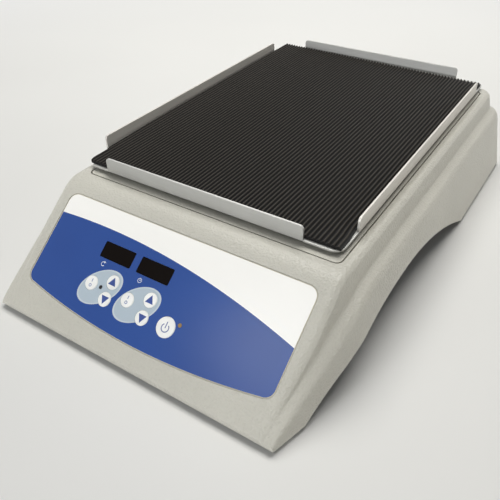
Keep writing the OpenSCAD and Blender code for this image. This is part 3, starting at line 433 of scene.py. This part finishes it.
def mat_material():
    """Black ribbed rubber; the rib crests are painted lighter, partly a painted highlight and partly a little
    dust.
    """
    s = Shader("mat_rubber", rough=0.6, Specular_IOR_Level=0.2)
    # A mask from the height of the ribs, 1 on the crests, where the painted highlight goes
    crest_highlight = s.map_range(s.axes()["Z"], ((TRAY_Z + 3.8) * MM, (TRAY_Z + 4.4) * MM))
    dust = s.math("MULTIPLY", s.noise(900, 3, 0.6), 0.6)
    highlight_and_dust = s.math("MULTIPLY", crest_highlight, s.math("ADD", 0.35, dust))
    # Painted highlight on the crests and painted shade in the grooves, with a little dust noise on the crests
    s.color(s.mix(highlight_and_dust, srgb(6, 5, 5), srgb(86, 81, 74)))
    fine = s.noise(2600, 2)
    s.rough(fine, 0.5, 0.72)
    s.bump(fine, 0.4, 0.00008)
    return s.material


M["film"] = film_material()
M["mat"] = mat_material()


# The moulded case
def smoothstep(a, b, u):
    t = min(1.0, max(0.0, (u - a) / (b - a)))
    return t * t * (3 - 2 * t)


def mix(a, b, t):
    return a + (b - a) * t


def top_z(y):
    """Height of the deck, its rounded bend and the slope."""
    k = math.tan(SLOPE)
    if y > BEND_Y + BEND_HALF:
        return DECK_Z
    if y > BEND_Y - BEND_HALF:
        return DECK_Z - k * (BEND_Y + BEND_HALF - y) ** 2 / (4 * BEND_HALF)
    return DECK_Z - k * (BEND_Y - y)


def grown(y):
    """How far the side's band has grown behind the front edge, 0 to 1."""
    return min(1.0, (max(0.0, y - FRONT_Y) / FADE) ** 0.9)


def rounding(y, r):
    """How far a rear edge of radius r draws in."""
    return 0.0 if y < REAR_Y - r else r - math.sqrt(max(0.0, r * r - (y - REAR_Y + r) ** 2))


def bottom_z(y):
    """Height of the wall's lower edge, with the arch."""
    t = (y - ARCH_Y) / ARCH_HALF
    return EDGE_Z + ARCH_RISE * max(0.0, 1 - abs(t) ** (2.4 if t < 0 else 2.0))


def wall_top(y):
    """Height of the side wall's upper edge, which bends more gently than the deck does."""
    rise, start, bend, run = 0.51, -190, -146, 62.0
    s = min(run, y - bend)
    z = 10.4 + rise * (y - start) if s < 0 else 32.8 + rise * s - rise * s * s / (2 * run)
    return min(z, top_z(y) - 1.2)


def side_corners(y):
    """The stepped band from the deck's edge to the top of the wall: places across, and depths."""
    g, s = grown(y), max(0.0, y - FRONT_Y)
    t = min(1.0, s / 48)
    total = top_z(y) - wall_top(y)
    edge = mix(NOSE_X, SHOULDER_X, g) + LEAN * (total - mix(NOSE_BAND, BAND, g))
    part = min(0.7 * total, mix(1.6, 5.6, min(1.0, max(0.0, s - 8) / 60)))
    ledge = min(1.3, 0.25 * total)
    step = total - part
    step_x = mix(104.0, 109.9, t ** 0.8)
    return [(HALF_OPEN, 0.0), (mix(103.0, 106.6, t), mix(0.1, -0.9, g * g)), (step_x, ledge),
            (step_x + 0.1 + 0.22 * (step - ledge), step),
            (edge - mix(1.2, 2.3, t), step + 0.43 * part), (edge, total)]


def eased(points, cuts):
    """A line through points whose inner corners are rounded, by cuts given in mm."""
    line, steps = [points[0]], 5
    for (ax, ay), (bx, by), (dx, dy), c in zip(points, points[1:], points[2:], cuts):
        la, lb = math.hypot(ax - bx, ay - by), math.hypot(dx - bx, dy - by)
        p, q = min(c, 0.48 * la) / la, min(c, 0.48 * lb) / lb
        sx, sy, ex, ey = mix(bx, ax, p), mix(by, ay, p), mix(bx, dx, q), mix(by, dy, q)
        for i in range(steps + 1):
            t = i / steps
            line.append((mix(mix(sx, bx, t), mix(bx, ex, t), t),
                         mix(mix(sy, by, t), mix(by, ey, t), t)))
    return line


def outer_half(y):
    """The right half of the case's outer section, from the middle of the top to the lower edge."""
    top = top_z(y)
    ex, ez = rounding(y, CORNER_R), rounding(y, REAR_EDGE_R)
    band = [(x - ex, top - d - ez) for x, d in side_corners(y)]
    low, z = band[-1], bottom_z(y)
    foot = (low[0] + LEAN * (low[1] - z), z)
    line = eased(band + [foot], (2.2, 1.1, 1.2, 1.4, 2.2))
    x, last_z = line[-1]
    wall = [(mix(x, foot[0], t), mix(last_z, z, t)) for t in (0.33, 0.66, 1)]
    return [(0.0, top - ez)] + line + wall


def inner_half(y):
    """The right half of the cavity's section, a wall's thickness inside."""
    ex, ez = rounding(y + WALL, CORNER_R), rounding(y, REAR_EDGE_R)
    top, down = top_z(y), WALL / math.cos(SLOPE if y < BEND_Y else 0)
    roof = top - down - ez
    ledge, inside, outside, low = [(x - ex, top - d - ez) for x, d in side_corners(y)[2:]]
    z = low[1] - WALL - 0.5
    return [(0.0, roof), (ledge[0] - 3.0, min(roof, ledge[1] - down + 1.2)),
            (inside[0] - 2.9, inside[1] - down), (outside[0] - 1.5, outside[1] - down),
            (low[0] - WALL, z), (low[0] - WALL + LEAN * (z + 10), -10.0)]


def loft(name, half, stations):
    """A closed body through mirrored half sections at stations along y."""
    rows = []
    for y in stations:
        h = half(y)
        rows.append([(-x, y, z) for x, z in h[:0:-1]] + [(x, y, z) for x, z in h])
    verts = [p for row in rows for p in row]
    return face_out(mesh_object(name, verts, tube_faces(len(rows[0]), len(rows))))


def span(a, b, step):
    """Even places from a up to b, without b."""
    n = max(1, round((b - a) / step))
    return [a + (b - a) * i / n for i in range(n)]


def round_end(r, turns):
    """Places along y that follow a quarter round of radius r at the rear."""
    return [REAR_Y - CORNER_R + r * math.sin(math.radians(t)) for t in turns]


def panel_outline(grow):
    """The outline of the front film and its recess, whose lower edge is bowed."""
    w, top, r, low, sag = 99.6 + grow, 90.1 + grow, 7 + grow, 12.5 - grow, 8.5
    reach = w - r
    bow = (reach * reach + sag * sag) / (2 * sag)
    tilt = math.degrees(math.asin(reach / bow))
    return (arc(reach, top - r, r, 0, 90, 10) + arc(-reach, top - r, r, 90, 180, 10)
            + arc(-reach, low + sag + r, r, 180, 270 - tilt, 10)
            + arc(0, low + bow, bow, 270 - tilt, 270 + tilt, 48)
            + arc(reach, low + sag + r, r, 270 + tilt, 360, 10))


def window_tools(grow, low):
    return [prism("tool", round_rect(WINDOW_W + grow, WINDOW_H + grow, 1, *at), low, 2, on_panel)
            for at in WINDOWS.values()]


def key_tools(grow, high):
    rounds = [circle(*at, KEY_R + grow) for at in KEYS.values()]
    rounds.append(circle(*STANDBY, STANDBY_R + grow))
    return [prism("tool", outline, -2, high, on_panel) for outline in rounds]


def make_case():
    a, b = BEND_Y - BEND_HALF, BEND_Y + BEND_HALF
    stations = (span(FRONT_Y, FRONT_Y + 12, 1.5) + span(FRONT_Y + 12, a, 3) + span(a, b, 1.4)
                + span(b, 70, 3) + span(70, REAR_Y - CORNER_R, 12)
                + round_end(CORNER_R, (0, 10, 20, 30, 38, 46, 54, 61, 67, 73, 78, 83, 87, 90)))
    case = loft("housing_shell", outer_half, stations)
    cavity = loft("cavity", inner_half, span(FRONT_Y + 14, b, 8) + [b]
                  + round_end(CORNER_R - WALL, (0, 35, 60, 90)))
    opening = round_rect(DECK_W + 2 * DECK_GAP, DECK_L + 2 * DECK_GAP, 5, 0, DECK_Y)
    deck_hole = prism("deck_hole", opening, DECK_Z - WALL - 1, DECK_Z + 6)
    recess = prism("recess", panel_outline(0.4), -0.7, 5, on_panel)
    inlet = prism("inlet_hole", round_rect(27.6, 20, 2, INLET_X, INLET_Z), -REAR_Y - 2, -REAR_Y + 4,
                  lambda x, y, z: (x, -z, y))
    cut(case, cavity, deck_hole, recess, inlet)
    cut(case, *window_tools(0.7, -4))
    cut(case, *key_tools(0.4, 1))
    tidy(case, 0.05)
    bevel(case, 0.45, angle=38)
    smooth(case)
    dress(case, M["case"], "case", "case_plastic", "housing")


make_case()


# The deck plate
deck_low, skin_low = DECK_Z - WALL - 1.8, DECK_Z - WALL
deck = prism("deck_panel", round_rect(DECK_W, DECK_L, 4, 0, DECK_Y), deck_low, DECK_Z)
tuck = prism("deck_tuck", round_rect(DECK_W + 2 * DECK_TUCK, DECK_L + 2 * DECK_TUCK, 5, 0, DECK_Y),
             deck_low, skin_low)
cut(deck, tuck, operation="UNION")
cut(deck, *[prism("tool", circle(x * POST_X, DRIVE_Y + y * POST_Y, POST_HOLE_R, 72), 55, 70)
            for x in (-1, 1) for y in (-1, 1)])
tidy(deck, 0.05)
bevel(deck, 0.5, 3)
smooth(deck)
dress(deck, M["deck"], "case", "deck_plastic", "deck_plate")

# The printed front and its keys
film = prism("front_film", panel_outline(-0.4), -0.7, -0.2, on_panel)
backing = prism("film_backing", panel_outline(0), -0.7, -0.27, on_panel)
cut(film, *window_tools(0.3, -2))
cut(film, *key_tools(0.1, 2), *[prism("tool", circle(*at, 1.4, 24), -2, 2, on_panel) for at in LIGHTS])
tidy(film, 0.05)
bevel(film, 0.12)
smooth(film)
dress(film, M["film"], "case", "overlay_film", "control_overlay")
cut(backing, prism("tool", panel_outline(-0.9), -2, 2, on_panel))
smooth(backing)
dress(backing, M["film_edge"], "case", "overlay_film")


def dome(name, cx, cy, r):
    """A key cap: a disc with a soft edge and a slightly crowned top, level with the film."""
    low, top, crown, n = -1.2, 0.0, 0.05, 64
    profile = [(r - 0.35, low), (r, low + 0.35), (r, top - 0.45), (r - 0.12, top - 0.18), (r - 0.4, top)]
    profile += [(r * t, top + crown * (1 - t * t)) for t in (0.85, 0.65, 0.4, 0.2)]
    turns = [2 * math.pi * k / n for k in range(n)]
    verts = [on_panel(cx + pr * math.cos(t), cy + pr * math.sin(t), pz) for pr, pz in profile for t in turns]
    return mesh_object(name, verts, [face[::-1] for face in tube_faces(n, len(profile))])


def join(name, parts):
    """Several meshes as one object."""
    bm = bmesh.new()
    for p in parts:
        bm.from_mesh(p.data)
    data = bpy.data.meshes.new(name)
    bm.to_mesh(data)
    bm.free()
    for p in parts:
        bpy.data.objects.remove(p)
    return add_object(name, data)


def mark(name, outlines, place, z, ink, body, slot):
    """Flat printing that stands a few hundredths proud, from outlines round a place."""
    cx, cy = place
    parts = [prism("part", [(cx + x, cy + y) for x, y in o], z - 0.3, z + 0.04, on_panel) for o in outlines]
    dress(join(name, parts), M[ink], body, slot)


def ring_arc(cx, cy, r0, r1, a, b):
    return arc(cx, cy, r1, a, b, 32) + arc(cx, cy, r0, b, a, 32)


def rect(x0, y0, x1, y1):
    return [(x0, y0), (x1, y0), (x1, y1), (x0, y1)]


UP = [[(0, 3.4), (-3.1, -2.1), (3.1, -2.1)]]
DOWN = [[(0, -3.4), (3.1, 2.1), (-3.1, 2.1)]]
ON_OFF = [rect(-0.3, 0.75, 0.3, 2.9), ring_arc(0, -1.7, 0.6, 1.15, -179, 179)]
WAIT = [ring_arc(0, -0.5, 2.35, 2.95, 128, 412), rect(-0.3, -0.7, 0.3, 3.6)]
TURN = [ring_arc(0, 0, 1.15, 1.6, 60, 330), [(0.2, 2.25), (1.9, 1.5), (0.55, 0.45)]]
CLOCK = [ring_arc(0, 0, 1.3, 1.65, -179, 179), rect(-0.17, -0.15, 0.17, 1.1), rect(0, -0.17, 0.95, 0.17)]


def make_key(name, place, r, sign, ink):
    cap = dome(name + "_cap", *place, r)
    smooth(cap, 50)
    dress(cap, M["key"], name + "_button", "key_plastic", name + "_key")
    mark(name + "_mark", sign, place, 0.03, ink, name + "_button", "key_plastic")


for name, place in KEYS.items():
    sign = UP if "up" in name else DOWN if "down" in name else ON_OFF
    make_key(name, place, KEY_R, sign, "faint_ink" if sign is ON_OFF else "ink")
make_key("standby", STANDBY, STANDBY_R, WAIT, "ink")
for name, place in WINDOWS.items():
    glass = prism(name + "_glass", round_rect(WINDOW_W, WINDOW_H, 0.85, *place), -2.5, -0.2, on_panel)
    bevel(glass, 0.15)
    smooth(glass)
    dress(glass, M["window"], "case", "dark_window", name + "_window")
mark("speed_sign", TURN, (-46.5, 52.0), -0.22, "white_ink", "case", "overlay_film")
mark("time_sign", CLOCK, (-14.2, 52.0), -0.22, "white_ink", "case", "overlay_film")


# The tray
def upright(x, y, z):
    return (x, z, y)


def flange(name, length, spin, dx, dy):
    """One bent-up flange: a folded strip with rounded upper ends and two small holes."""
    t, bend, edge, r = TRAY_T, 0.8, 0.25, 3.0
    prof = ([(FLANGE_ROOT, 0.0)] + arc(bend, bend, bend, 270, 180, 5)
            + [(0, FLANGE_H - edge), (edge, FLANGE_H), (t - edge, FLANGE_H), (t, FLANGE_H - edge),
               (t, t), (FLANGE_ROOT, t)])
    half = length / 2
    verts = [(x, d, z) for x in (-half, half) for d, z in prof]
    obj = face_out(mesh_object(name, verts, tube_faces(len(prof), 2)))
    ends = (arc(half - r, FLANGE_H - r, r, 0, 90, 8) + arc(-half + r, FLANGE_H - r, r, 90, 180, 8)
            + [(-half, -1), (half, -1)])
    cut(obj, prism("tool", ends, -1, 5, upright), operation="INTERSECT")
    cut(obj, *[prism("tool", circle(x, 6.4, 1.25, 24), -1, 5, upright) for x in (-half + 5, half - 5)])
    turn = Matrix.Rotation(math.radians(spin), 4, "Z")
    obj.data.transform(Matrix.Translation(Vector((dx, dy, TRAY_Z)) * MM) @ turn)
    return smooth(obj, 30)


def make_tray():
    cx, cy = TRAY_C
    w, l, r = TRAY_W / 2, TRAY_L / 2, 8.0
    end_w, side_l = w - FLANGE_GAP, l - FLANGE_GAP
    # The left and right flanges take the copy of the sheet that is painted lighter, as painted light
    for side, length, spin, dx, dy, look in (
            ("front", 2 * end_w, 0, cx, cy - l, "tray_x"), ("rear", 2 * end_w, 180, cx, cy + l, "tray_x"),
            ("right", 2 * side_l, 90, cx + w, cy, "tray_sides_lit"), ("left", 2 * side_l, -90, cx - w, cy, "tray_sides_lit")):
        strip = flange("tray_" + side + "_flange", length, spin, dx, dy)
        dress(strip, M[look], "shaking_table", "tray_sheet")
    side_root = [(w - FLANGE_ROOT, side_l), (w, side_l)]
    end_root = [(end_w, l), (end_w, l - FLANGE_ROOT)]
    quarter = side_root + arc(w - r, l - r, r, 0, 90, 10) + end_root
    relief = side_root + [(w - 5, side_l + 4), (w - 8.5, l - 4), (w - 11, l)] + end_root
    outline = (quarter + [(-x, y) for x, y in quarter[::-1]] + [(-x, -y) for x, y in relief]
               + [(x, -y) for x, y in quarter[::-1]])
    base = prism("tray_floor", [(cx + x, cy + y) for x, y in outline], TRAY_Z, TRAY_Z + TRAY_T)
    bevel(base, 0.2)
    smooth(base)
    dress(base, M["tray_x"], "shaking_table", "tray_sheet", "tray")


make_tray()


# The ribbed mat
MAT_L, MAT_HALF_W, MAT_FLAT = 296.0, 104.2, 1.6
RIBS, RIB_PITCH = 69, 3.0
RIB = ((0.3, 0), (0.42, 0.1), (1.28, 1.28), (1.42, 1.4), (1.58, 1.4), (1.72, 1.28), (2.58, 0.1), (2.7, 0))


def make_mat():
    cx, cy = TRAY_C
    left, low = cx - RIBS * RIB_PITCH / 2, TRAY_Z + TRAY_T
    right, flat = left + RIBS * RIB_PITCH, low + MAT_FLAT
    profile = [(left - 0.5, low), (left - 0.5, flat)]
    profile += [(left + i * RIB_PITCH + x, flat + z) for i in range(RIBS) for x, z in RIB]
    profile += [(right + 0.5, flat), (right + 0.5, low)]
    ys = [cy - MAT_L / 2 + MAT_L * j / 48 for j in range(49)]
    verts = [(x, y, z) for y in ys for x, z in profile]
    obj = face_out(mesh_object("ribbed_sheet", verts, tube_faces(len(profile), len(ys))))
    bm = bmesh.new()
    bm.from_mesh(obj.data)
    corners = ((-98.5, -148), (-101.4, -126), (-MAT_HALF_W, 148), (MAT_HALF_W, 142.5))
    for (ax, ay), (bx, by) in zip(corners, corners[1:]):
        out = bmesh.ops.bisect_plane(
            bm, geom=bm.verts[:] + bm.edges[:] + bm.faces[:], dist=1e-7, clear_outer=True,
            plane_co=((ax + cx) * MM, (ay + cy) * MM, 0),
            plane_no=Vector((ay - by, bx - ax, 0)).normalized())
        edges = [e for e in out["geom_cut"] if isinstance(e, bmesh.types.BMEdge)]
        bmesh.ops.contextual_create(bm, geom=edges)
    bmesh.ops.recalc_face_normals(bm, faces=bm.faces)
    for v in bm.verts:  # the free right ends bulge a little
        free_end = smoothstep(124.5, 136.5, abs(v.co.y / MM - cy))
        v.co.x += 1.1 * MM * free_end * smoothstep(86, MAT_HALF_W, v.co.x / MM - cx)
    bm.to_mesh(obj.data)
    bm.free()
    smooth(obj, 24)
    dress(obj, M["mat"], "shaking_table", "mat_rubber", "ribbed_mat")


make_mat()


# The mains inlet keeps its CAD shape, with its sharp edges eased
inlet = add_object("power_inlet_eased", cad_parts["power_inlet"].data.copy())
tidy(inlet)
bevel(inlet, 0.25)
smooth(inlet)
dress(inlet, M["black"], "case", "black_plastic", "power_inlet")

# The pieces that keep their CAD shape as it is
PAINT = {
    "pan": ["base_pan"],
    "feet": ["rubber_feet"],
    "zinc": ["foot_screws", "case_screws", "board_screws", "block_screws", "counterweight_screws",
             "post_screws", "tray_screws", "motor_screws", "inlet_screws"],
    "dark_lens": ["running_light"],
    "amber_lens": ["standby_light"],
    "board": ["control_board", "power_board"],
    "display": ["display_modules"],
    "black": ["key_switches", "motor"],
    "cast": ["main_bearing_block", "idler_bearing_blocks", "carriage", "tray_posts",
             "idler_a_crank", "idler_b_crank", "motor_plate", "motor_pulley"],
    "ground": ["shaft_bearing_outer_rings", "shaft_bearing_balls", "main_inner_rings",
               "idler_a_inner_rings", "idler_b_inner_rings", "pin_bearing_outer_rings",
               "pin_bearing_balls"],
    "shaft": ["main_shaft", "main_crank_pin", "idler_a_shaft", "idler_a_pin", "idler_b_shaft",
              "idler_b_pin", "motor_shaft"],
    "pulley": ["drive_pulley"],
    "iron": ["counterweight"],
    "belt": ["drive_belt"],
    "brass": ["inlet_pins"],
    "lead": ["wiring"],
}
for key, nodes in PAINT.items():
    for name in nodes:
        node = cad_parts[name]
        node.data.materials.clear()
        node.data.materials.append(M[key])

# Floor, light and camera
def background_rays(tree):
    """1 for the rays that meet the background straight, in gloss or through glass."""
    path = tree.nodes.new("ShaderNodeLightPath")
    seen = path.outputs["Is Camera Ray"]
    for kind in ("Is Glossy Ray", "Is Transmission Ray"):
        larger = tree.nodes.new("ShaderNodeMath")
        larger.operation = "MAXIMUM"
        tree.links.new(seen, larger.inputs[0])
        tree.links.new(path.outputs[kind], larger.inputs[1])
        seen = larger.outputs[0]
    return seen


def mix_shaders(tree, fac, a, b, output):
    blend = tree.nodes.new("ShaderNodeMixShader")
    for socket, source in zip(blend.inputs, (fac, a, b)):
        tree.links.new(source, socket)
    tree.links.new(blend.outputs[0], tree.nodes[output].inputs["Surface"])


FLOOR_HALF = 4000
corners = [(x * FLOOR_HALF, y * FLOOR_HALF, 0) for x, y in ((-1, -1), (1, -1), (1, 1), (-1, 1))]
floor = mesh_object("floor", corners, [[0, 1, 2, 3]])
ground = Shader("floor_paint", rough=0.55)
ground.color(ground.ramp(ground.noise(3, 2), [(0.2, srgb(226, 226, 224)), (0.8, srgb(232, 232, 230))]))
far = ground.node("ShaderNodeVectorMath", operation="LENGTH")
ground.link(ground.place, far.inputs[0])
fade = ground.map_range(far.outputs["Value"], (0.45, 1.15), interpolation_type="SMOOTHSTEP")
glow = ground.node("ShaderNodeEmission")
glow.inputs["Color"].default_value = (0.88, 0.88, 0.87, 1)
mix_shaders(ground.tree, ground.math("MULTIPLY", fade, background_rays(ground.tree)),
            ground.main.outputs[0], glow.outputs[0], "Material Output")
floor.data.materials.append(ground.material)

world = bpy.data.worlds.new("studio")
bpy.context.scene.world = world
world.use_nodes = True
sky = world.node_tree.nodes["Background"]
sky.inputs["Color"].default_value = (0.86, 0.88, 0.92, 1)
sky.inputs["Strength"].default_value = 0.1
bright = world.node_tree.nodes.new("ShaderNodeBackground")
bright.inputs["Color"].default_value = (0.93, 0.93, 0.925, 1)
bright.inputs["Strength"].default_value = 1.0
mix_shaders(world.node_tree, background_rays(world.node_tree), sky.outputs[0], bright.outputs[0],
            "World Output")


def lamp(name, place, aim, size, power, color):
    light = bpy.data.lights.new(name, "AREA")
    light.shape = "RECTANGLE"
    light.size, light.size_y = size
    light.energy = power
    light.color = color
    obj = add_object(name, light)
    obj.location = place
    obj.rotation_euler = (Vector(aim) - Vector(place)).to_track_quat("-Z", "Y").to_euler()


lamp("ceiling", (-0.2, 0.55, 1.4), (-0.2, 0.549, 0), (1.4, 0.9), 22.5, (1.0, 0.985, 0.945))
lamp("front", (-0.45, -2.2, 0.26), (0, -0.15, 0.06), (1.4, 0.26), 23, (0.985, 0.995, 1.0))
lamp("right", (2.05, -0.05, 0.18), (0.05, 0, 0.04), (1.4, 0.24), 8, (1.0, 0.97, 0.91))
lamp("sheen", (-0.31, -0.82, 0.95), (0.09, -0.16, 0.03), (0.3, 0.3), 1.3, (0.97, 0.985, 1.0))

# The camera as fitted to the photo, for a frame of 500 by 500
PHOTO_SIZE, FOCAL, SENSOR = 500, 580.973, 36
CAMERA_AT = (0.202618, -0.35397, 0.281221)
az, el, roll = math.radians(33.577), math.radians(37.799), math.radians(-1.096)
back = Vector((math.sin(az) * math.cos(el), -math.cos(az) * math.cos(el), math.sin(el)))
level = (-back).cross(Vector((0, 0, 1))).normalized()
upward = level.cross(-back)
right = math.cos(roll) * level + math.sin(roll) * upward
up = -math.sin(roll) * level + math.cos(roll) * upward
lens = bpy.data.cameras.new("camera")
lens.lens = FOCAL / PHOTO_SIZE * SENSOR
lens.sensor_width = SENSOR
lens.clip_start = 0.01
camera = add_object("camera", lens)
stand = Matrix((right, up, back)).transposed().to_4x4()
stand.translation = Vector(CAMERA_AT)
camera.matrix_world = stand
bpy.context.scene.camera = camera
bpy.context.scene.view_settings.view_transform = "Standard"

bpy.context.view_layer.update()
